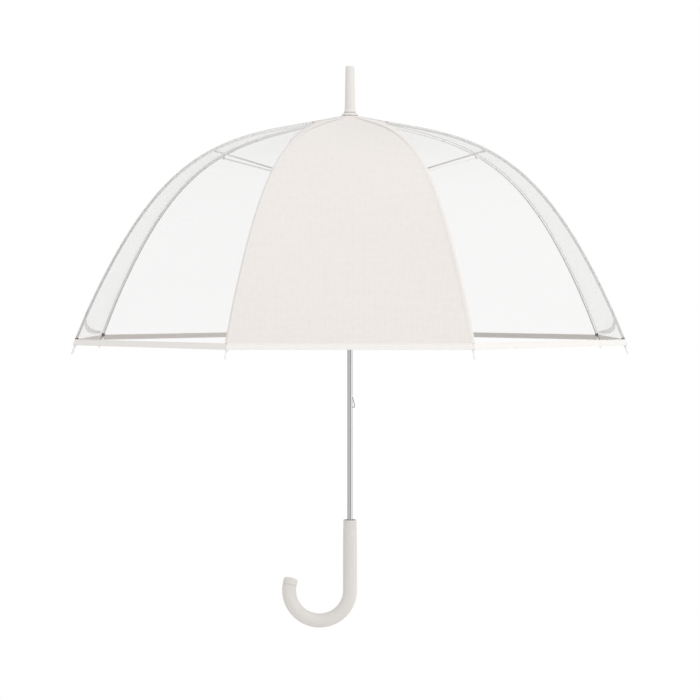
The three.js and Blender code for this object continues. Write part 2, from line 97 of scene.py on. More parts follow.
# Frame
RIB_DEPTH = 2.6 * MM
RIB_WIDTH, RIB_HEIGHT, SHEET_STEEL = 2.8 * MM, 2.4 * MM, 0.5 * MM
RIB_START, RIB_END = 12 * MM, 566 * MM
STRETCHER_AT = 212 * MM
RIB_BEND = 10 * MM
EYE_RADIUS, EYE_NECK, EYE_HALF_THICKNESS = 1.6 * MM, 0.9 * MM, 0.6 * MM
EAR_RADIUS, EAR_NECK = 1.9 * MM, 2.6 * MM
RIVET_RADIUS, RIVET_PROUD = 0.9 * MM, 0.7 * MM

# Seams along the ribs
FABRIC_SEAM_HALF, FILM_SEAM_HALF = 3.2 * MM, 2.8 * MM
SEAM_LIFT, SEAM_CROWN, SEAM_THICKNESS = 0.35 * MM, 0.12 * MM, 0.25 * MM
SEAM_RIPPLE, SEAM_RIPPLE_LENGTH = 0.03 * MM, 40 * MM

# Studio: the lens and its sensor are in mm, and the tilt is in radians
LENS, SENSOR = 108.6, 36
CAMERA_DISTANCE, CAMERA_UNDER_CROWN, CAMERA_TILT = 3.1256, 0.2586, 0.0282
LIT_PLACE = (0, 0, 0.4)
FLOOR_Z, FLOOR_RADIUS = -1.0, 3.2
ROOM_BRIGHTNESS = 1.5

RIB_AZIMUTHS = [HALF_PANEL * (2 * k + 1) for k in range(PANELS)]
PANEL_AZIMUTHS = [HALF_PANEL * 2 * k for k in range(PANELS)]


# ---------------------------------------------------------------- materials


def linear(hex_colour):
    """An sRGB hex value as a linear RGBA tuple."""
    values = [int(hex_colour[i : i + 2], 16) / 255 for i in (1, 3, 5)]
    made = [v / 12.92 if v <= 0.04045 else ((v + 0.055) / 1.055) ** 2.4 for v in values]
    return (*made, 1.0)


def add(tree, kind, inputs=None, **settings):
    """A shader node with its settings, and its inputs as plain values or as links."""
    made = tree.nodes.new("ShaderNode" + kind)
    for name, value in settings.items():
        setattr(made, name, value)
    for name, value in (inputs or {}).items():
        if isinstance(value, bpy.types.NodeSocket):
            tree.links.new(value, made.inputs[name])
        else:
            made.inputs[name].default_value = value
    return made


def new_material(name):
    """An empty material and its node tree."""
    made = bpy.data.materials.new(name)
    made.use_nodes = True
    made.node_tree.nodes.clear()
    return made, made.node_tree


def finish_material(tree, shader):
    """Joins the shader to the material's output."""
    add(tree, "OutputMaterial", {"Surface": shader.outputs[0]})


def wave_scale(spacing):
    """The Wave Texture's scale for bands this far apart: a band is 2 pi / (20 scale)."""
    return 2 * math.pi / (20 * spacing)


def woven_polyester(name, light, dark, thread, relief):
    """Polyester pongee, woven white and calendered: matte, with warp and weft that show as a faint
    cross grain. The threads are drawn coarser than their real 0.15 mm, so that they show."""
    made, tree = new_material(name)
    cloth = add(tree, "UVMap", uv_map="cloth").outputs["UV"]
    waves = [
        add(tree, "TexWave", {"Vector": cloth, "Scale": wave_scale(thread), "Distortion": 0.6,
                              "Detail": 1.0}, bands_direction=direction)
        for direction in ("X", "Y")
    ]
    grain = add(tree, "Math", {0: waves[0].outputs["Fac"], 1: waves[1].outputs["Fac"]},
                operation="MULTIPLY")
    slub = add(tree, "TexNoise", {"Vector": cloth, "Scale": 140.0, "Detail": 4.0})
    mottle = add(tree, "Math", {0: grain.outputs[0], 1: slub.outputs["Fac"]}, operation="MULTIPLY")
    tone = add(tree, "MapRange", {"Value": mottle.outputs[0], "From Min": 0.0, "From Max": 0.45})
    colour = add(tree, "MixRGB", {"Fac": tone.outputs[0], "Color1": linear(dark),
                                  "Color2": linear(light)})
    bump = add(tree, "Bump", {"Height": mottle.outputs[0], "Strength": 0.6, "Distance": relief})
    shader = add(tree, "BsdfPrincipled", {
        "Base Color": colour.outputs[0], "Roughness": 0.85, "IOR": 1.5, "Sheen Weight": 0.25,
        "Sheen Roughness": 0.5, "Normal": bump.outputs[0]})
    finish_material(tree, shader)
    return made


def clear_film(name, colour, cover, cover_edge, shine):
    """Clear soft vinyl film, calendered: it lets nearly all light through with a faint grey cast, it
    hides more and mirrors more at a low angle, and fine creases from folding catch the light.
    cover is how much it hides face on, and cover_edge at the lowest angle."""
    made, tree = new_material(name)
    cloth = add(tree, "UVMap", uv_map="cloth").outputs["UV"]
    stretch = add(tree, "Mapping", {"Vector": cloth, "Scale": (1.0, 0.45, 1.0)})
    creases = add(tree, "TexNoise", {"Vector": stretch.outputs[0], "Scale": 38.0, "Detail": 5.0,
                                     "Distortion": 1.2})
    fine = add(tree, "TexNoise", {"Vector": cloth, "Scale": 210.0, "Detail": 3.0})
    height = add(tree, "Math", {0: creases.outputs["Fac"], 1: fine.outputs["Fac"]}, operation="ADD")
    bump = add(tree, "Bump", {"Height": height.outputs[0], "Strength": 0.4, "Distance": 0.4 * MM})
    rough = add(tree, "MapRange", {"Value": fine.outputs["Fac"], "To Min": shine - 0.05,
                                   "To Max": shine + 0.1})
    angle = add(tree, "LayerWeight", {"Blend": 0.5})
    steep = add(tree, "Math", {0: angle.outputs["Facing"], 1: 3.0}, operation="POWER")
    hidden = add(tree, "MapRange", {"Value": steep.outputs[0], "To Min": cover, "To Max": cover_edge})
    shader = add(tree, "BsdfPrincipled", {
        "Base Color": linear(colour), "Roughness": rough.outputs[0], "IOR": 1.53,
        "Alpha": hidden.outputs[0], "Normal": bump.outputs[0]})
    finish_material(tree, shader)
    return made


def moulded_plastic(name, colour, shade, roughness, grain):
    """Injection-moulded ABS: an even colour with a fine moulded grain that softens the shine."""
    made, tree = new_material(name)
    place = add(tree, "TexCoord").outputs["Object"]
    fine = add(tree, "TexNoise", {"Vector": place, "Scale": 1 / grain, "Detail": 2.0})
    broad = add(tree, "TexNoise", {"Vector": place, "Scale": 18.0, "Detail": 2.0})
    tint = add(tree, "MixRGB", {"Fac": broad.outputs["Fac"], "Color1": linear(colour),
                                "Color2": linear(shade)})
    rough = add(tree, "MapRange", {"Value": fine.outputs["Fac"], "To Min": roughness - 0.06,
                                   "To Max": roughness + 0.08})
    bump = add(tree, "Bump", {"Height": fine.outputs["Fac"], "Strength": 0.15, "Distance": 0.05 * MM})
    shader = add(tree, "BsdfPrincipled", {
        "Base Color": tint.outputs[0], "Roughness": rough.outputs[0], "IOR": 1.5,
        "Normal": bump.outputs[0]})
    finish_material(tree, shader)
    return made


def drawn_steel(name, colour, shade, roughness, streak):
    """Steel that was drawn or rolled and then plated: bright metal with faint streaks along it."""
    made, tree = new_material(name)
    place = add(tree, "TexCoord").outputs["Object"]
    along = add(tree, "Mapping", {"Vector": place, "Scale": (1.0, 1.0, 0.04)})
    streaks = add(tree, "TexNoise", {"Vector": along.outputs[0], "Scale": 1 / streak, "Detail": 3.0})
    tint = add(tree, "MixRGB", {"Fac": streaks.outputs["Fac"], "Color1": linear(colour),
                                "Color2": linear(shade)})
    rough = add(tree, "MapRange", {"Value": streaks.outputs["Fac"], "To Min": roughness * 0.7,
                                   "To Max": roughness * 1.4})
    bump = add(tree, "Bump", {"Height": streaks.outputs["Fac"], "Strength": 0.1, "Distance": 0.02 * MM})
    shader = add(tree, "BsdfPrincipled", {
        "Base Color": tint.outputs[0], "Metallic": 1.0, "Roughness": rough.outputs[0],
        "Normal": bump.outputs[0]})
    finish_material(tree, shader)
    return made


def matte_white(name, colour, roughness):
    """Painted board for the floor."""
    made, tree = new_material(name)
    place = add(tree, "TexCoord").outputs["Object"]
    speck = add(tree, "TexNoise", {"Vector": place, "Scale": 3.0, "Detail": 2.0})
    rough = add(tree, "MapRange", {"Value": speck.outputs["Fac"], "To Min": roughness - 0.05,
                                   "To Max": roughness + 0.05})
    shader = add(tree, "BsdfPrincipled", {"Base Color": linear(colour), "Roughness": rough.outputs[0]})
    finish_material(tree, shader)
    return made


FABRIC = woven_polyester("white_woven_polyester", "#f3efec", "#e3deda", 1.6 * MM, 0.2 * MM)
# Grey for a ribbon inside the hem tape: painted shade for the tape's unlit inner face, seen through the film
SHADE_RIBBON = woven_polyester("grey_tape_shade_ribbon", "#cdc7c2", "#bfb9b4", 0.9 * MM, 0.10 * MM)
TAPE = woven_polyester("white_binding_tape", "#f5f2ef", "#edeae6", 0.9 * MM, 0.10 * MM)
FILM = clear_film("clear_vinyl_film", "#d2d1cf", 0.085, 0.4, 0.1)
WELD = clear_film("welded_vinyl_seam", "#cbcac8", 0.2, 0.5, 0.2)
# Darker and more opaque than two layers of film: painted shade in the fold near the hem
FOLD_FILM_AND_SHADE = clear_film("folded_vinyl_film_and_painted_shade", "#aba39e", 0.42, 0.62, 0.3)
THREAD = moulded_plastic("white_sewing_thread", "#efece8", "#e2ded9", 0.7, 0.4 * MM)
HANDLE_ABS = moulded_plastic("satin_white_handle_abs", "#e4e1dd", "#dfdbd7", 0.48, 0.5 * MM)
WHITE_ABS = moulded_plastic("moulded_white_abs", "#e8e5e1", "#e2dfdb", 0.52, 0.5 * MM)
TIP_NYLON = moulded_plastic("moulded_white_nylon", "#f6f4f1", "#f1efec", 0.4, 0.5 * MM)
# Dark grey for the balls at the rib ends, and for the handle collar, where it is painted shade for the recess
# at the top of the handle
DARK_PLASTIC_AND_SHADE = moulded_plastic("dark_grey_plastic_and_painted_shade", "#4b4845", "#423f3d", 0.6, 0.5 * MM)
SHAFT_STEEL = drawn_steel("bright_plated_steel_tube", "#d2d2d0", "#c3c3c1", 0.16, 0.8 * MM)
RIB_STEEL = drawn_steel("plated_steel_channel", "#e6e5e3", "#d8d6d4", 0.42, 1.2 * MM)
SPRING_STEEL = drawn_steel("blued_spring_steel", "#403e3c", "#343230", 0.5, 1.2 * MM)


# ---------------------------------------------------------------- geometry


def slope_at(distance):
    """The meridian's angle below level: a straight rise from crown to hem plus three sine terms."""
    t = np.asarray(distance, float) / MERIDIAN_LENGTH
    waves = sum(size * np.sin((i + 1) * np.pi * t) for i, size in enumerate(SLOPE_WAVES))
    return np.radians(CROWN_SLOPE + (HEM_SLOPE - CROWN_SLOPE) * t + waves)


STEP = 0.25 * MM
TRACK = np.arange(0, 600 * MM, STEP)
TRACK_R = CROWN_RADIUS + np.concatenate([[0], np.cumsum(np.cos(slope_at(TRACK[:-1] + STEP / 2)))]) * STEP
TRACK_Z = CROWN_Z - np.concatenate([[0], np.cumsum(np.sin(slope_at(TRACK[:-1] + STEP / 2)))]) * STEP


def meridian(distance, lift=0.0):
    """Radius and height this far down the meridian, lifted off the canopy along its normal."""
    slope = slope_at(distance)
    radius = np.interp(distance, TRACK, TRACK_R) + lift * np.sin(slope)
    return radius, np.interp(distance, TRACK, TRACK_Z) + lift * np.cos(slope)


def outward(azimuth):
    """The level direction out from the shaft."""
    return np.array([math.sin(azimuth), -math.cos(azimuth), 0.0])


def sideways(azimuth):
    """The level direction across a spoke, the way that azimuth grows."""
    return np.array([math.cos(azimuth), math.sin(azimuth), 0.0])


def up_and_out(azimuth):
    """The way that the outside of the canopy faces."""
    return Vector(outward(azimuth) + np.array([0, 0, 1.0]))


def spoke(azimuth, radial, side, height):
    """Points from their distances along a spoke, sideways from it and up."""
    radial, side, height = np.broadcast_arrays(radial, side, height)
    flat = radial[..., None] * outward(azimuth) + side[..., None] * sideways(azimuth)
    return flat + height[..., None] * np.array([0.0, 0.0, 1.0])


def grid_faces(rows, columns, closed):
    """Quads over a grid of points, which joins up across when it is closed."""
    i, j = np.meshgrid(np.arange(rows - 1), np.arange(columns if closed else columns - 1), indexing="ij")
    k = (j + 1) % columns
    quads = np.stack([i * columns + j, i * columns + k, (i + 1) * columns + k, (i + 1) * columns + j], -1)
    return quads.reshape(-1, 4)


def surface(name, grid, closed=True, capped=True, material=None, uv=None, facing=None):
    """An object over a grid of points (rows, columns, 3). A closed grid is a tube, with its ends
    filled when capped. facing is a direction that an open sheet's faces should look along."""
    rows, columns = grid.shape[:2]
    faces = grid_faces(rows, columns, closed).tolist()
    if closed and capped:
        faces.append(list(range(columns))[::-1])
        faces.append(list(range((rows - 1) * columns, rows * columns)))
    mesh = bpy.data.meshes.new(name)
    mesh.from_pydata(grid.reshape(-1, 3).tolist(), [], faces)
    if uv is not None:
        layer = mesh.uv_layers.new(name="cloth")
        corner = np.empty(len(mesh.loops), np.int32)
        mesh.loops.foreach_get("vertex_index", corner)
        layer.data.foreach_set("uv", uv.reshape(-1, 2)[corner].ravel())
    work = bmesh.new()
    work.from_mesh(mesh)
    bmesh.ops.remove_doubles(work, verts=work.verts, dist=1e-7)
    if closed:
        bmesh.ops.recalc_face_normals(work, faces=work.faces)
    elif facing is not None:
        if sum(f.normal.dot(facing) * f.calc_area() for f in work.faces) < 0:
            bmesh.ops.reverse_faces(work, faces=work.faces)
    work.to_mesh(mesh)
    work.free()
    return as_object(name, mesh, material)


def as_object(name, mesh, material):
    """The mesh as an object at the origin: smooth faces, sharp edges and one material."""
    mesh.materials.clear()
    mesh.materials.append(material)
    mesh.polygons.foreach_set("use_smooth", np.ones(len(mesh.polygons), bool))
    mesh.set_sharp_from_angle(angle=SHARP)
    made = bpy.data.objects.new(name, mesh)
    bpy.context.scene.collection.objects.link(made)
    return made


def joined(name, objects, material):
    """Several closed shells as one object."""
    work = bmesh.new()
    for part in objects:
        work.from_mesh(part.data)
    mesh = bpy.data.meshes.new(name)
    work.to_mesh(mesh)
    work.free()
    for part in objects:
        bpy.data.objects.remove(part)
    return as_object(name, mesh, material)


def thicken(piece, thickness):
    """A sheet gets its thickness behind the side that it faces, or before it where the thickness is
    negative, with sharp edges along its rim."""
    solid = piece.modifiers.new("thickness", "SOLIDIFY")
    solid.thickness = thickness
    solid.offset = -1
    graph = bpy.context.evaluated_depsgraph_get()
    piece.data = bpy.data.meshes.new_from_object(piece.evaluated_get(graph))
    piece.modifiers.clear()
    piece.data.set_sharp_from_angle(angle=SHARP)


def soften(piece, width, segments=2):
    """Eases a piece's sharp edges with a narrow bevel."""
    bevel = piece.modifiers.new("edges", "BEVEL")
    bevel.width = width
    bevel.segments = segments
    bevel.limit_method = "ANGLE"
    bevel.angle_limit = SHARP


def rounded(points, radius, steps=5):
    """A polyline whose inner corners are rounded: each becomes a quadratic curve between points
    one radius back along both of its edges, or a little under half an edge where that is less."""
    points = np.asarray(points, float)
    made = [points[:1]]
    for before, corner, after in zip(points[:-2], points[1:-1], points[2:]):
        ends = []
        for other in (before, after):
            length = np.linalg.norm(other - corner)
            ends.append(corner + (other - corner) * min(radius / length, 0.45))
        t = np.linspace(0, 1, steps + 1)[:, None]
        made.append((1 - t) ** 2 * ends[0] + 2 * t * (1 - t) * corner + t**2 * ends[1])
    made.append(points[-1:])
    return np.concatenate(made)


def turned(profile, sides=64):
    """A turned surface as a grid: radius and height pairs carried round the Z axis."""
    angle = np.linspace(0, 2 * np.pi, sides, endpoint=False)
    radius, height = profile[:, :1], profile[:, 1:]
    x, y = radius * np.cos(angle), radius * np.sin(angle)
    return np.stack([x, y, np.broadcast_to(height, x.shape)], -1)


def swept(centres, first, second, section):
    """A section of (rows or 1, points, 2) offsets carried along centres, in each row's two directions."""
    section = np.broadcast_to(section, (len(centres), *section.shape[-2:]))
    return centres[:, None] + section[..., :1] * first[:, None] + section[..., 1:] * second[:, None]


def cad_copy(node, body, material, slot, edge=0.0):
    """A CAD node's own shape with its loose triangles merged, its flats joined and its edges eased."""
    work = bmesh.new()
    work.from_mesh(frame["nodes"][node].data)
    bmesh.ops.remove_doubles(work, verts=work.verts, dist=1e-6)
    bmesh.ops.dissolve_limit(work, angle_limit=math.radians(0.5), verts=work.verts, edges=work.edges)
    mesh = bpy.data.meshes.new(node + "_finished")
    work.to_mesh(mesh)
    work.free()
    made = as_object(node + "_finished", mesh, material)
    if edge:
        soften(made, edge)
    return settle(made, body, slot, node)


def settle(piece, body, slot, *nodes):
    """The piece rides on its body and stands for its CAD nodes, which it hides; slot is not used."""
    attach(piece, body)
    if nodes:
        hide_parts(*nodes)
    return piece


# ---------------------------------------------------------------- camera, light and floor


def make_camera():
    """A long lens in front of the canopy, tilted a little down."""
    camera = bpy.data.objects.new("camera", bpy.data.cameras.new("camera"))
    bpy.context.scene.collection.objects.link(camera)
    camera.data.sensor_width = SENSOR
    camera.data.lens = LENS
    camera.location = (0, -CAMERA_DISTANCE, CROWN_Z - CAMERA_UNDER_CROWN)
    camera.rotation_euler = (math.pi / 2 - CAMERA_TILT, 0, 0)
    bpy.context.scene.camera = camera


def area_light(name, place, size, power):
    """A round soft box that faces the middle of the umbrella."""
    data = bpy.data.lights.new(name, "AREA")
    data.shape = "DISK"
    data.size = size
    data.energy = power
    lamp = bpy.data.objects.new(name, data)
    lamp.location = place
    lamp.rotation_mode = "QUATERNION"
    lamp.rotation_quaternion = (Vector(LIT_PLACE) - lamp.location).to_track_quat("-Z", "Y")
    bpy.context.scene.collection.objects.link(lamp)


def make_world():
    """A white backdrop for the camera, and a room whose brightness changes round the umbrella: each
    stop is a turn from the front, towards +X, in degrees, and the brightness there."""
    world = bpy.data.worlds.new("studio")
    bpy.context.scene.world = world
    world.use_nodes = True
    tree = world.node_tree
    tree.nodes.clear()
    place = add(tree, "TexCoord").outputs["Generated"]
    turn = add(tree, "TexGradient", {"Vector": place}, gradient_type="RADIAL")
    ramp = add(tree, "ValToRGB", {"Fac": turn.outputs["Fac"]})
    stops = ((-90, 0.36), (-62, 0.60), (-40, 0.78), (-14, 0.68), (4, 0.26), (28, 0.26), (46, 0.80),
             (80, 0.88), (110, 0.66), (160, 0.55), (215, 0.46), (269, 0.36))
    elements = ramp.color_ramp.elements
    for element in list(elements)[1:]:
        elements.remove(element)
    for i, (degrees, value) in enumerate(stops):
        element = elements[0] if i == 0 else elements.new(degrees / 360 + 0.25)
        element.position = degrees / 360 + 0.25
        element.color = (value, value, value, 1.0)
    light = add(tree, "Background", {"Color": ramp.outputs["Color"], "Strength": ROOM_BRIGHTNESS})
    backdrop = add(tree, "Background", {"Color": linear("#ffffff"), "Strength": 1.0})
    seen = add(tree, "LightPath").outputs["Is Camera Ray"]
    mixed = add(tree, "MixShader", {"Fac": seen})
    tree.links.new(light.outputs[0], mixed.inputs[1])
    tree.links.new(backdrop.outputs[0], mixed.inputs[2])
    add(tree, "OutputWorld", {"Surface": mixed.outputs[0]})


def studio():
    """The room's light, two soft boxes and a pale round floor."""
    make_world()
    bpy.context.scene.view_settings.view_transform = "Standard"
    area_light("key", (2.6, -2.4, 1.6), 1.4, 12)
    area_light("overhead", (0.1, -2.2, 2.6), 2.2, 14)
    angle = np.linspace(0, 2 * np.pi, 96, endpoint=False)
    radius = np.array([[0.0], [FLOOR_RADIUS / 2], [FLOOR_RADIUS]])
    rings = np.stack([radius * np.cos(angle), radius * np.sin(angle), FLOOR_Z + 0 * radius * angle], -1)
    floor = surface("floor", rings, capped=False, material=matte_white("pale_floor", "#f4f4f3", 0.7))


# ---------------------------------------------------------------- canopy


SEAM_HALF_GAP = 0.25 * MM
SAG = 4 * MM
FABRIC_THICKNESS = 0.3 * MM
FABRIC_PUCKER, FILM_PUCKER = 0.35 * MM, 0.25 * MM
STRIP_HALF_WIDTH = 56 * MM
SEAM_LEAVES_Y = 60 * MM
SEAM_MEETS_RIB = (81 * MM, 196 * MM)
STRIP_WITHIN = 240 * MM
PUCKER_LONG, PUCKER_SHORT = 17 * MM, 7.3 * MM
PUCKER_EASES_IN, PUCKER_FADES = 6 * MM, 9 * MM


def sag(distance, across):
    """How far taut cloth dips between two ribs: a parabola across, and a squared sine down each half
    of the panel, so that it is flat at the crown, at the flex line and at the hem."""
    down = np.where(distance < FLEX, distance / FLEX, (distance - FLEX) / (PANEL_END - FLEX))
    return SAG * (1 - across**2) * np.sin(np.pi * np.clip(down, 0, 1)) ** 2


def puckers(distance, across, side):
    """Small ripples across a seam, which die away from it: two sines down the seam, times an
    exponential of the distance from the panel's edge. They start from nothing at the edge itself,
    at the crown and at the hem."""
    edge = np.minimum(1 - across, 1 + across) * side
    turn = 2 * np.pi * distance
    ripple = np.sin(turn / PUCKER_LONG) + 0.6 * np.sin(turn / PUCKER_SHORT + 1.3)
    ease = np.sin(np.pi * np.clip(distance / PANEL_END, 0, 1)) ** 2
    start = np.sin(np.pi * np.clip(edge / PUCKER_EASES_IN, 0, 0.5))
    return ripple * np.exp(-edge / PUCKER_FADES) * start * ease


def panel_points(azimuth, distance, across, lift=0.0, pucker=0.0):
    """Points of a canopy panel: flat from rib to rib, dipped by sag() and rippled by puckers()."""
    radius, _ = meridian(distance)
    side = radius * math.sin(HALF_PANEL) - SEAM_HALF_GAP
    depth = lift - sag(distance, across) + pucker * puckers(distance, across, side)
    radius, height = meridian(distance, depth)
    return spoke(azimuth, radius * math.cos(HALF_PANEL), across * side, height)


def strip_edge(azimuth, across):
    """How far down the meridian the fabric strip over the top reaches, at places across a panel.
    Its seam leaves the rib at the stretcher and runs to the strip's straight edge. Halving finds
    where the panel crosses it."""
    low = np.full_like(across, CLOTH_START)
    high = np.full_like(across, STRIP_WITHIN)
    for _ in range(30):
        middle = (low + high) / 2
        x, y, _ = np.moveaxis(np.abs(panel_points(azimuth, middle, across)), -1, 0)
        t = np.clip((y - SEAM_LEAVES_Y) / (SEAM_MEETS_RIB[1] - SEAM_LEAVES_Y), 0, 1)
        inside = x < STRIP_HALF_WIDTH + (SEAM_MEETS_RIB[0] - STRIP_HALF_WIDTH) * t
        low = np.where(inside, middle, low)
        high = np.where(inside, high, middle)
    return np.minimum(low, STRETCHER_AT)


def narrow_with_fold(piece):
    """Gives the piece a mesh of its own."""
    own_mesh(piece)


def edge_begins(distance):
    """How far across a panel the edge that stays with its rib begins, from 0 to 1."""
    half_width = meridian(distance)[0] * math.sin(HALF_PANEL)
    return 1 - np.minimum(CLOTH_EDGE / half_width, CLOTH_EDGE_SHARE)


def cloth_edge(name, panel, side, stops, material, slot, thickness, pucker):
    """The edge of a panel beside one rib, with rows between the stops down the meridian."""
    azimuth = PANEL_AZIMUTHS[panel]
    spans = [np.linspace(a, b, CLOTH_ROWS)[: None if b == stops[-1] else -1]
             for a, b in zip(stops[:-1], stops[1:])]
    distance = np.concatenate(spans)[:, None]
    begins = edge_begins(distance)
    across = side * (begins + (1 - begins) * np.linspace(0, 1, 5))
    points = panel_points(azimuth, distance, across, pucker=pucker)
    down = distance + 0 * across
    uv = np.stack([meridian(distance)[0] * math.sin(HALF_PANEL) * across, down], -1)
    facing = up_and_out(azimuth)
    piece = surface(name, points, closed=False, material=material, uv=uv, facing=facing)
    if thickness:
        thicken(piece, thickness)
    bend_with_rib(piece, panel if side > 0 else (panel - 1) % PANELS)
    return piece


def cloth_piece(name, panel, starts, ends, body, material, slot, thickness, pucker, sewn_on=()):
    """Part of a panel between two distances down the meridian at each place across it."""
    azimuth = PANEL_AZIMUTHS[panel]
    t = np.linspace(0, 1, CLOTH_ROWS)[:, None]
    distance = starts + (ends - starts) * t
    across = np.linspace(-1, 1, len(starts)) * edge_begins(distance)
    points = panel_points(azimuth, distance, across, pucker=pucker)
    side = meridian(distance)[0] * math.sin(HALF_PANEL) * across
    uv = np.stack([side, distance], -1)
    facing = up_and_out(azimuth)
    piece = surface(name, points, closed=False, material=material, uv=uv, facing=facing)
    if thickness:
        thicken(piece, thickness)
    settle(piece, body, slot)
    narrow_with_fold(piece)
    return piece


def make_panel(k):
    """One canopy panel: fabric over the top, then film or fabric to the flex line and to the hem,
    and the edges of both beside the ribs."""
    fabric = k in FABRIC_PANELS
    across = np.linspace(-1, 1, CLOTH_COLUMNS)
    start, flex, end = (np.full(CLOTH_COLUMNS, d) for d in (CLOTH_START, FLEX, PANEL_END))
    name, lower = f"panel_{k + 1}", f"hem_{k + 1}"
    woven = (FABRIC, "white_fabric", FABRIC_THICKNESS)
    sheeting = (*woven, FABRIC_PUCKER) if fabric else (FILM, "clear_film", 0, FILM_PUCKER)
    edge = start if fabric else strip_edge(PANEL_AZIMUTHS[k], across)
    edges = []
    for side, mark, reach in ((-1, "left", edge[0]), (1, "right", edge[-1])):
        if not fabric:
            stops = (CLOTH_START, reach)
            edges.append(cloth_edge(f"{name}_strip_{mark}", k, side, stops, *woven, 0))
        stops = (reach, FLEX, PANEL_END)
        edges.append(cloth_edge(f"{name}_{mark}", k, side, stops, *sheeting))
    top = cloth_piece(f"{name}_upper", k, edge, flex, name, *sheeting, sewn_on=edges)
    if not fabric:
        top = cloth_piece(f"{name}_strip", k, start, edge, name, *woven, 0)
    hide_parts(f"canopy_panel_{k + 1}")
    cloth_piece(f"{name}_lower", k, flex, end, lower, *sheeting)


HEM_COLUMNS, HEM_SIDES = 121, 24
TAPE_DROP, TAPE_HALF_THICKNESS = 0.15 * MM, 0.45 * MM
TAPE_RIPPLE, TAPE_RIPPLE_TURN = 0.12 * MM, 60
# Size and place of the grey ribbon that paints shade on the tape's inner face
SHADE_RIBBON_MARGIN, SHADE_RIBBON_DEPTH, SHADE_RIBBON_THICKNESS = 0.6 * MM, 0.64 * MM, 0.12 * MM
FOLD_TOP, FOLD_DROP = 516 * MM, 42 * MM
FOLD_HALF_WIDTH, FOLD_END_HALF_WIDTH = 3.0 * MM, 0.7 * MM
FOLD_LIFT, FOLD_CROWN = 0.25 * MM, 0.9 * MM
FOLD_FROM, FOLD_ACROSS = -0.95, 1.86
HEM_HALF_WIDTH = 160 * MM
STITCH_SPACING, STITCH_LENGTH = 3.4 * MM, 2.5 * MM
STITCH_INSET, STITCH_LIFT, STITCH_MARGIN = 1.4 * MM, 0.3 * MM, 3 * MM


def make_hem(k):
    """The binding tape: a flattened loop carried along the hem from rib to rib. The loop is a
    squared oval, and its lower edge ripples as a sine along the hem."""
    azimuth = PANEL_AZIMUTHS[k]
    angle = np.linspace(0, 2 * np.pi, HEM_SIDES, endpoint=False)
    middle, half = (PANEL_END + HEM_END) / 2, (HEM_END - PANEL_END) / 2
    shape = np.stack([np.sign(np.cos(angle)) * np.abs(np.cos(angle)) ** 0.5,
                      np.sign(np.sin(angle)) * np.abs(np.sin(angle)) ** 0.7], -1)
    distance = middle + half * shape[:, 0]
    lift = TAPE_HALF_THICKNESS * shape[:, 1] - TAPE_DROP
    across = np.linspace(-1, 1, HEM_COLUMNS)[:, None]
    ripple = TAPE_RIPPLE * np.sin(across * TAPE_RIPPLE_TURN) * (1 + shape[:, 0])
    radius, height = meridian(np.broadcast_to(distance, (HEM_COLUMNS, HEM_SIDES)), lift + ripple)
    side = across * (radius * math.sin(HALF_PANEL) - SEAM_HALF_GAP)
    points = spoke(azimuth, radius * math.cos(HALF_PANEL), side, height)
    uv = np.stack([side, np.broadcast_to(distance, side.shape)], -1)
    hem = surface(f"hem_tape_{k + 1}_bound", points, material=TAPE, uv=uv)
    settle(hem, f"hem_{k + 1}", "binding_tape", f"hem_tape_{k + 1}")
    narrow_with_fold(hem)


def make_hem_shade_ribbon(k):
    """A grey ribbon along the tape's inner face: painted shade for the unlit inside of the tape."""
    azimuth = PANEL_AZIMUTHS[k]
    across = np.linspace(-1, 1, HEM_COLUMNS)
    distance = np.linspace(PANEL_END + SHADE_RIBBON_MARGIN, HEM_END - SHADE_RIBBON_MARGIN, 5)[:, None]
    radius, height = meridian(distance, -SHADE_RIBBON_DEPTH)
    side = across * (radius * math.sin(HALF_PANEL) - SEAM_HALF_GAP)
    points = spoke(azimuth, radius * math.cos(HALF_PANEL), side, height)
    uv = np.stack([side, np.broadcast_to(distance, side.shape)], -1)
    facing = Vector(-outward(azimuth))
    shade_ribbon = surface(f"hem_shade_ribbon_{k + 1}", points, closed=False, material=SHADE_RIBBON, uv=uv, facing=facing)
    thicken(shade_ribbon, -SHADE_RIBBON_THICKNESS)
    settle(shade_ribbon, f"hem_{k + 1}", "binding_tape")
    narrow_with_fold(shade_ribbon)


def make_film_fold(k):
    """A soft fold that the film keeps near the hem of a side panel: a ribbon of doubled film, drawn darker
    and more opaque than two layers, as painted shade in the fold. Its way down is a quarter sine and its way
    across is a square, so it drops beside one rib first and then crosses to the other rib's end."""
    azimuth = PANEL_AZIMUTHS[k]
    way = np.linspace(0, 1, 60)[:, None]
    wide = FOLD_HALF_WIDTH * np.sin(np.pi * way) ** 0.5 + FOLD_END_HALF_WIDTH
    offset = np.linspace(-1, 1, 9)
    middle = FOLD_TOP + FOLD_DROP * np.sin(np.pi / 2 * way)
    distance = middle + wide * offset
    front = math.copysign(1, math.sin(azimuth))
    across = (FOLD_FROM + FOLD_ACROSS * way**2) * np.ones_like(offset) * front
    points = panel_points(azimuth, distance, across, lift=FOLD_LIFT + FOLD_CROWN * (1 - offset**2))
    uv = np.stack([across * HEM_HALF_WIDTH, distance], -1)
    facing = Vector(outward(azimuth))
    fold = surface(f"film_fold_{k + 1}", points, closed=False, material=FOLD_FILM_AND_SHADE, uv=uv, facing=facing)
    settle(fold, f"hem_{k + 1}", "clear_film")
    narrow_with_fold(fold)


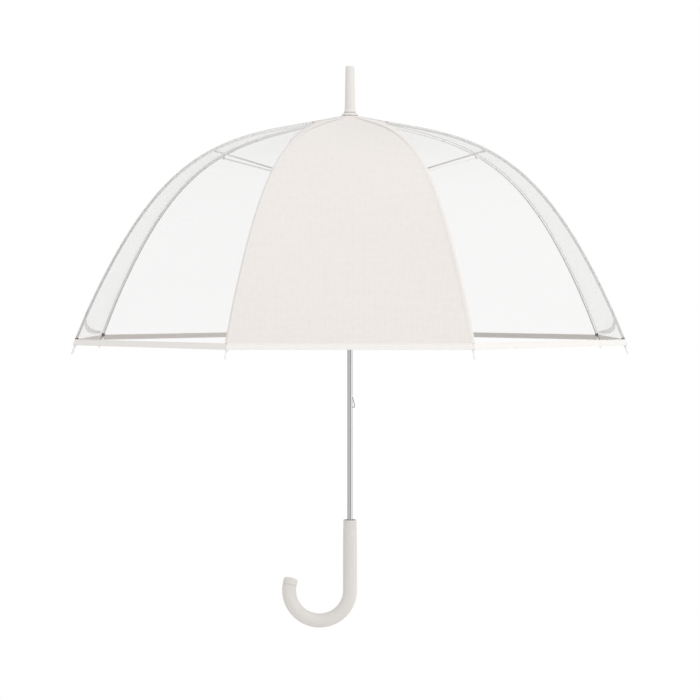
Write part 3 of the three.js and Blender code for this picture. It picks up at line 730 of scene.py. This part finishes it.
def make_hem_stitches(k):
    """Lockstitches along the tape's upper edge: short six-sided bars, each humped like thread."""
    azimuth = PANEL_AZIMUTHS[k]
    at = PANEL_END + STITCH_INSET
    radius, _ = meridian(at)
    reach = radius * math.sin(HALF_PANEL) - STITCH_MARGIN
    centres = np.arange(-reach, reach, STITCH_SPACING)
    along = np.linspace(-0.5, 0.5, 5)
    angle = np.linspace(0, 2 * np.pi, 6, endpoint=False)
    size = THREAD_RADIUS * np.array([0.4, 0.9, 1.0, 0.9, 0.4])
    lift = STITCH_LIFT + size[:, None] * np.sin(angle)
    down = at + size[:, None] * np.cos(angle)
    side = centres[:, None, None] + (along * STITCH_LENGTH)[:, None] + np.zeros_like(lift)
    radial, height = meridian(down, lift)
    points = spoke(azimuth, radial * math.cos(HALF_PANEL), side, np.broadcast_to(height, side.shape))
    faces = grid_faces(len(along), len(angle), True)
    sides, count = len(angle), len(along) * len(angle)
    ends = [list(range(sides))[::-1], list(range(count - sides, count))]
    all_faces = []
    for i in range(len(centres)):
        all_faces += (faces + i * count).tolist() + [[v + i * count for v in end] for end in ends]
    mesh = bpy.data.meshes.new(f"hem_stitches_{k + 1}")
    mesh.from_pydata(points.reshape(-1, 3).tolist(), [], all_faces)
    work = bmesh.new()
    work.from_mesh(mesh)
    bmesh.ops.recalc_face_normals(work, faces=work.faces)
    work.to_mesh(mesh)
    work.free()
    stitches = as_object(f"hem_stitches_{k + 1}", mesh, THREAD)
    settle(stitches, f"hem_{k + 1}", "binding_tape")
    narrow_with_fold(stitches)


# ---------------------------------------------------------------- ribs and seams


def bend_with_rib(piece, k):
    """Works out the rib's places either side of the flex line, which nothing uses, and bakes the piece's
    transform into its mesh.
    """
    azimuth = RIB_AZIMUTHS[k]
    for distance in (FLEX - RIB_BEND, FLEX + RIB_BEND):
        radius, height = meridian(distance, -RIB_DEPTH)
        tuple(spoke(azimuth, radius, 0.0, height))
    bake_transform(piece)


def channel_section():
    """The folded steel channel, open inwards, with its bends rounded: (sideways, outwards) offsets."""
    outer, top = RIB_WIDTH / 2, RIB_HEIGHT / 2
    inner, web = outer - SHEET_STEEL, top - SHEET_STEEL
    points = [[0, top], [outer, top], [outer, -top], [inner, -top], [inner, web],
              [-inner, web], [-inner, -top], [-outer, -top], [-outer, top], [0, top]]
    return rounded(points, 0.35 * MM, 3)[:-1]


def flat_bar(name, outline, half_thickness, azimuth, material):
    """A flat plate in a spoke's upright plane, from an outline of (radius, height) points."""
    sides = np.array([-half_thickness, half_thickness])[:, None]
    points = spoke(azimuth, outline[:, 0], sides, outline[:, 1])
    return surface(name, points, material=material)


def keyhole(eye, end, radius, neck, steps=24):
    """An outline round an eye, with straight flanks to a neck at its other end."""
    along = math.atan2(end[1] - eye[1], end[0] - eye[0])
    angle = along + np.linspace(math.radians(60), math.radians(300), steps)
    ring = np.asarray(eye) + radius * np.stack([np.cos(angle), np.sin(angle)], -1)
    across = np.array([-math.sin(along), math.cos(along)]) * neck
    return np.concatenate([[np.asarray(end) + across], ring, [np.asarray(end) - across]])


def spoke_place(joint, azimuth):
    """A joint's place as (radius, height) in its spoke's plane."""
    place = np.array(joints[joint]["pos_m"])
    return np.array([place @ outward(azimuth), place[2]])


def cross_rod(name, azimuth, centre, radius, half_length, material):
    """A rivet across the spoke's plane, turned, with rounded ends."""
    profile = rounded([[0, -half_length], [radius, -half_length], [radius, half_length], [0, half_length]],
                      radius * 0.6)
    angle = np.linspace(0, 2 * np.pi, 20, endpoint=False)
    radial = centre[0] + profile[:, :1] * np.cos(angle)
    height = centre[1] + profile[:, :1] * np.sin(angle)
    return surface(name, spoke(azimuth, radial, profile[:, 1:], height), capped=False, material=material)


def make_rib(k):
    """The channel carried down the meridian, its eye at the crown, and the stretcher's ears and
    rivet."""
    azimuth = RIB_AZIMUTHS[k]
    distance = np.linspace(RIB_START, RIB_END, 180)
    section = channel_section()
    radius, height = meridian(distance[:, None], section[:, 1] - RIB_DEPTH)
    channel = surface("channel", spoke(azimuth, radius, section[:, 0], height), material=RIB_STEEL)
    eye = spoke_place(f"rib_pivot_{k + 1}", azimuth)
    neck = np.array(meridian(RIB_START + 3 * MM, -RIB_DEPTH + 0.3 * MM))
    outline = keyhole(eye, neck, EYE_RADIUS, EYE_NECK)
    crown_eye = flat_bar("eye", outline, EYE_HALF_THICKNESS, azimuth, RIB_STEEL)
    pivot = spoke_place(f"stretcher_pivot_{k + 1}", azimuth)
    above = np.array(meridian(STRETCHER_AT, -RIB_DEPTH))
    outline = keyhole(pivot, above, EAR_RADIUS, EAR_NECK)
    ears = []
    for side in (-1, 1):
        ear = flat_bar("ear", outline, SHEET_STEEL / 2, azimuth, RIB_STEEL)
        ear.data.transform(Matrix.Translation(sideways(azimuth) * side * (RIB_WIDTH / 2)))
        ears.append(ear)
    reach = RIB_WIDTH / 2 + RIVET_PROUD
    rivet = cross_rod("rivet", azimuth, pivot, RIVET_RADIUS, reach, RIB_STEEL)
    rib = joined(f"rib_{k + 1}", [channel, crown_eye, *ears, rivet], RIB_STEEL)
    bend_with_rib(rib, k)
    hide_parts(f"rib_inner_{k + 1}", f"rib_outer_{k + 1}")


def make_seam(k):
    """The seam along a rib: a strip folded over the ridge between two panels. It is fabric as far
    down as a panel beside it is fabric, and then a weld between two films."""
    azimuth = RIB_AZIMUTHS[k]
    fabric_to = PANEL_END
    if k not in RIBS_BESIDE_FABRIC:
        fabric_to = strip_edge(azimuth - HALF_PANEL, np.array([1.0]))[0]
    for name, start, end, material, slot, half in (
        ("top_seam", CLOTH_START, fabric_to, FABRIC, "white_fabric", FABRIC_SEAM_HALF),
        ("film_seam", fabric_to, PANEL_END, WELD, "clear_film", FILM_SEAM_HALF),
    ):
        if end - start < MM:
            continue
        rows = int((end - start) / (2.5 * MM)) + 2
        distance = np.linspace(start, end, rows)[:, None]
        across = np.linspace(-1, 1, 7)
        radius, _ = meridian(distance)
        width = np.minimum(half, radius * math.sin(HALF_PANEL) * 0.8)
        side = width * across
        drop = np.abs(side) * math.tan(HALF_PANEL)
        ripple = SEAM_RIPPLE * np.sin(2 * np.pi * distance / SEAM_RIPPLE_LENGTH) * across
        radial, height = meridian(distance, SEAM_LIFT - SEAM_CROWN * across**2 + ripple)
        points = spoke(azimuth, radial - drop, side, height)
        uv = np.stack([side + 0 * distance, distance + 0 * side], -1)
        facing = up_and_out(azimuth)
        seam = surface(f"{name}_{k + 1}", points, closed=False, material=material, uv=uv, facing=facing)
        thicken(seam, SEAM_THICKNESS)
        bend_with_rib(seam, k)


TIE_HALF_WIDTH, TIE_HALF_HEIGHT, TIE_HALF_GAP = 1.95 * MM, 1.75 * MM, 0.35 * MM
TIES = (("rib_inner", (150 * MM, 248 * MM)), ("rib_outer", (352 * MM, 452 * MM)))


def make_ties(k):
    """Thread ties that hold the canopy to the rib: each is two oval turns of thread round the
    channel."""
    azimuth = RIB_AZIMUTHS[k]
    angle = np.linspace(0, 2 * np.pi, 25)[:-1]
    turn = np.linspace(0, 2 * np.pi, 9)[:-1]
    for body, places in TIES:
        rings = []
        for place in places:
            for shift in (-TIE_HALF_GAP, TIE_HALF_GAP):
                wide = TIE_HALF_WIDTH + THREAD_RADIUS * np.cos(turn)
                high = TIE_HALF_HEIGHT + THREAD_RADIUS * np.cos(turn)
                side = np.cos(angle)[:, None] * wide
                lift = np.sin(angle)[:, None] * high - RIB_DEPTH
                radius, height = meridian(place + shift + THREAD_RADIUS * np.sin(turn), lift)
                ring = spoke(azimuth, radius, side, height)
                rings.append(surface("tie", np.concatenate([ring, ring[:1]]), capped=False, material=THREAD))
        ties = joined(f"{body}_ties_{k + 1}", rings, THREAD)
        settle(ties, f"{body}_{k + 1}", "white_fabric")


TIP_AT, TIP_DEPTH, TIP_LENGTH = 566.6 * MM, 3.4 * MM, 17.4 * MM
TIP_BASE_RADIUS, TIP_NECK_RADIUS = 1.9 * MM, 1.4 * MM
TIP_BASE_LENGTH, TIP_NECK_FROM = 5 * MM, 8 * MM
BEAD_AT, BEAD_RADIUS = 562 * MM, 2.7 * MM


def make_rib_end(k):
    """The dark bead on the rib's end, a ball, and the white tip beyond the hem, turned about the
    rib's own direction there."""
    azimuth = RIB_AZIMUTHS[k]
    slope = float(slope_at(MERIDIAN_LENGTH))
    start = np.array(meridian(TIP_AT, -TIP_DEPTH))
    along = np.array([math.cos(slope), -math.sin(slope)])
    profile = rounded([
        [0, 0], [TIP_BASE_RADIUS, 0], [TIP_BASE_RADIUS, TIP_BASE_LENGTH],
        [TIP_NECK_RADIUS, TIP_NECK_FROM], [TIP_NECK_RADIUS, TIP_LENGTH], [0, TIP_LENGTH],
    ], 1.0 * MM, 4)
    angle = np.linspace(0, 2 * np.pi, 32, endpoint=False)
    normal = np.array([math.sin(slope), math.cos(slope)])
    centre = start + profile[:, 1:] * along
    radial = centre[:, :1] + profile[:, :1] * np.cos(angle) * normal[0]
    height = centre[:, 1:] + profile[:, :1] * np.cos(angle) * normal[1]
    points = spoke(azimuth, radial, profile[:, :1] * np.sin(angle), height)
    tip = surface(f"rib_tip_{k + 1}_moulded", points, capped=False, material=TIP_NYLON)
    settle(tip, f"rib_outer_{k + 1}", "white_plastic", f"rib_tip_{k + 1}")
    bead_at = np.array(meridian(BEAD_AT, -RIB_DEPTH))
    turn = np.linspace(0, np.pi, 17)[:, None]
    x = bead_at[0] + BEAD_RADIUS * np.sin(turn) * np.cos(angle)
    z = bead_at[1] + BEAD_RADIUS * np.sin(turn) * np.sin(angle)
    points = spoke(azimuth, x, BEAD_RADIUS * np.cos(turn), z)
    bead = surface(f"rib_bead_{k + 1}", points, capped=False, material=DARK_PLASTIC_AND_SHADE)
    settle(bead, f"rib_outer_{k + 1}", "dark_plastic")


# ---------------------------------------------------------------- shaft, crown and handle


TUBE_BORE = 4.3 * MM


def make_ferrule():
    """The spike on top, turned: a flange, a short shoulder and a long stem that narrows a little to
    its flat end, with a blind bore for the shaft."""
    low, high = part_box("ferrule")
    bottom, top = low.z, high.z
    wide = (high.x - low.x) / 2
    bore_top = bottom + 20 * MM
    profile = rounded(np.array([
        [TUBE_BORE, bore_top], [TUBE_BORE, bottom], [wide - 0.4 * MM, bottom], [wide, bottom + 0.8 * MM],
        [wide - 0.4 * MM, bottom + 2.4 * MM], [7.8 * MM, bottom + 4.6 * MM], [7.55 * MM, bottom + 9 * MM],
        [6.6 * MM, top - 1.4 * MM], [5.9 * MM, top], [0, top],
    ]), 0.9 * MM, 6)
    profile = np.concatenate([[[0, bore_top]], profile])
    ferrule = surface("ferrule_moulded", turned(profile, 72), capped=False, material=WHITE_ABS)
    settle(ferrule, "shaft", "white_plastic", "ferrule")


def make_crown_cap():
    """The cap over the crown, turned: a flat top, a sloped shoulder and a rounded rim, hollow
    below, with a hole for the shaft."""
    low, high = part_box("crown_cap")
    wide = (high.x - low.x) / 2
    top, rim = high.z, low.z
    outline = rounded(np.array([
        [TUBE_BORE, rim + 1.7 * MM], [wide - 0.5 * MM, rim], [wide, rim + 0.7 * MM],
        [wide - 0.4 * MM, rim + 2.2 * MM], [wide - 1.6 * MM, top - 0.7 * MM], [9 * MM, top], [TUBE_BORE, top],
    ]), 0.7 * MM, 5)
    profile = np.concatenate([outline, outline[:1]])
    cap = surface("crown_cap_moulded", turned(profile, 72), capped=False, material=WHITE_ABS)
    settle(cap, "shaft", "white_plastic", "crown_cap")


GRIP_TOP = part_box("handle")[1].z
GRIP_RADIUS, CROOK_RADIUS = 10 * MM, 10.4 * MM
CROOK_BEND, CROOK_Z = 45.2 * MM, -52.5 * MM
CROOK_SWEEP = math.radians(192)
SEAM_DIP, SEAM_GAP = 0.2 * MM, 0.1 * MM
GROOVES = (48.6 * MM, 44.3 * MM, 41.1 * MM)
GROOVE_DEPTH, GROOVE_WIDTH = 0.45 * MM, 0.55 * MM
RECESS_RADIUS, RECESS_DEPTH, SOCKET_DEPTH = 8.6 * MM, 2.6 * MM, 15 * MM
SWELL_LENGTH = 40 * MM
CAP_LENGTH, CAP_ROUNDING = 8.7 * MM, 4.2 * MM


def crook(angle):
    """The centre line of the crook, and the direction across it, from the grip's foot round."""
    angle = np.asarray(angle, float)
    across = np.stack([np.cos(angle), np.zeros_like(angle), -np.sin(angle)], -1)
    return np.array([-CROOK_BEND, 0, CROOK_Z]) + CROOK_BEND * across, across


def make_handle():
    """A tube of rings: out of the recess, over the rim, down the grip with its grooves, and round
    the crook. A groove is a dip of a bell shape in the radius."""
    floor = GRIP_TOP - RECESS_DEPTH
    rim = rounded([
        [TUBE_BORE, floor], [RECESS_RADIUS, floor], [RECESS_RADIUS, GRIP_TOP],
        [GRIP_RADIUS, GRIP_TOP], [GRIP_RADIUS, GRIP_TOP - 2 * MM],
    ], 0.7 * MM, 5)
    heights = np.linspace(GRIP_TOP - 2.1 * MM, CROOK_Z + MM, 220)
    along = np.clip((heights[0] - heights) / SWELL_LENGTH, 0, 1)
    swell = GRIP_RADIUS + (CROOK_RADIUS - GRIP_RADIUS) * along
    dips = sum(GROOVE_DEPTH * np.exp(-(((heights - g) / GROOVE_WIDTH) ** 2)) for g in GROOVES)
    grip = np.stack([swell - dips, heights], -1)
    straight = np.concatenate([[[TUBE_BORE, floor - SOCKET_DEPTH]], rim, grip])
    count = len(straight)
    centres = np.zeros((count, 3))
    centres[:, 2] = straight[:, 1]
    bend, across = crook(np.linspace(0, CROOK_SWEEP, 110))
    centres = np.concatenate([centres, bend])
    first = np.concatenate([np.tile([1.0, 0, 0], (count, 1)), across])
    second = np.tile([0.0, 1.0, 0], (len(centres), 1))
    radii = np.concatenate([straight[:, 0], np.full(len(bend), CROOK_RADIUS)])
    radii[-1] -= SEAM_DIP
    angle = np.linspace(0, 2 * np.pi, 72, endpoint=False)
    circle = np.stack([np.cos(angle), np.sin(angle)], -1)
    section = radii[:, None, None] * circle
    handle = surface("handle_moulded", swept(centres, first, second, section), material=HANDLE_ABS)
    settle(handle, "shaft", "handle_plastic", "handle")


def make_end_cap():
    """The plug in the crook's end: a short turned cap with a rounded face, past a narrow seam."""
    (centre,), (across,) = crook(np.array([CROOK_SWEEP]))
    onward = np.array([-math.sin(CROOK_SWEEP), 0, -math.cos(CROOK_SWEEP)])
    profile = rounded(np.array([
        [0, 0], [CROOK_RADIUS - SEAM_DIP, 0], [CROOK_RADIUS, 0.4 * MM],
        [CROOK_RADIUS, CAP_LENGTH], [0, CAP_LENGTH],
    ]), CAP_ROUNDING, 12)
    profile[:, 1] += SEAM_GAP
    angle = np.linspace(0, 2 * np.pi, 72, endpoint=False)
    centres = centre + profile[:, 1:] * onward
    circle = np.stack([np.cos(angle), np.sin(angle)], -1)
    section = profile[:, 0][:, None, None] * circle
    first = np.tile(across, (len(profile), 1))
    second = np.tile([0.0, 1.0, 0], (len(profile), 1))
    cap = surface("handle_end_cap_moulded", swept(centres, first, second, section), capped=False,
                  material=HANDLE_ABS)
    settle(cap, "shaft", "handle_plastic", "handle_end_cap")


# ---------------------------------------------------------------- the umbrella


make_camera()
studio()
for k in range(PANELS):
    make_panel(k)
    make_hem(k)
    make_hem_shade_ribbon(k)
    make_hem_stitches(k)
    make_rib(k)
    make_ties(k)
    make_seam(k)
    make_rib_end(k)
    cad_copy(f"stretcher_{k + 1}", f"stretcher_{k + 1}", RIB_STEEL, "grey_steel", 0.12 * MM)
for k in SIDE_PANELS:
    make_film_fold(k)
make_ferrule()
make_crown_cap()
make_handle()
make_end_cap()
for copied in (
    ("shaft_tube", "shaft", SHAFT_STEEL, "bright_steel"),
    ("crown_notch", "shaft", WHITE_ABS, "white_plastic", 0.2 * MM),
    ("crown_wire", "shaft", RIB_STEEL, "grey_steel"),
    ("stop_pin", "shaft", RIB_STEEL, "grey_steel", 0.2 * MM),
    # The collar is drawn dark grey as painted shade: the shadow in the recess round the shaft at the top of
    # the handle
    ("handle_collar", "shaft", DARK_PLASTIC_AND_SHADE, "dark_plastic", 0.2 * MM),
    ("top_catch", "top_catch", SPRING_STEEL, "spring_steel", 0.25 * MM),
    ("bottom_catch", "bottom_catch", SPRING_STEEL, "spring_steel", 0.25 * MM),
    ("runner", "runner", WHITE_ABS, "white_plastic", 0.3 * MM),
):
    cad_copy(*copied)
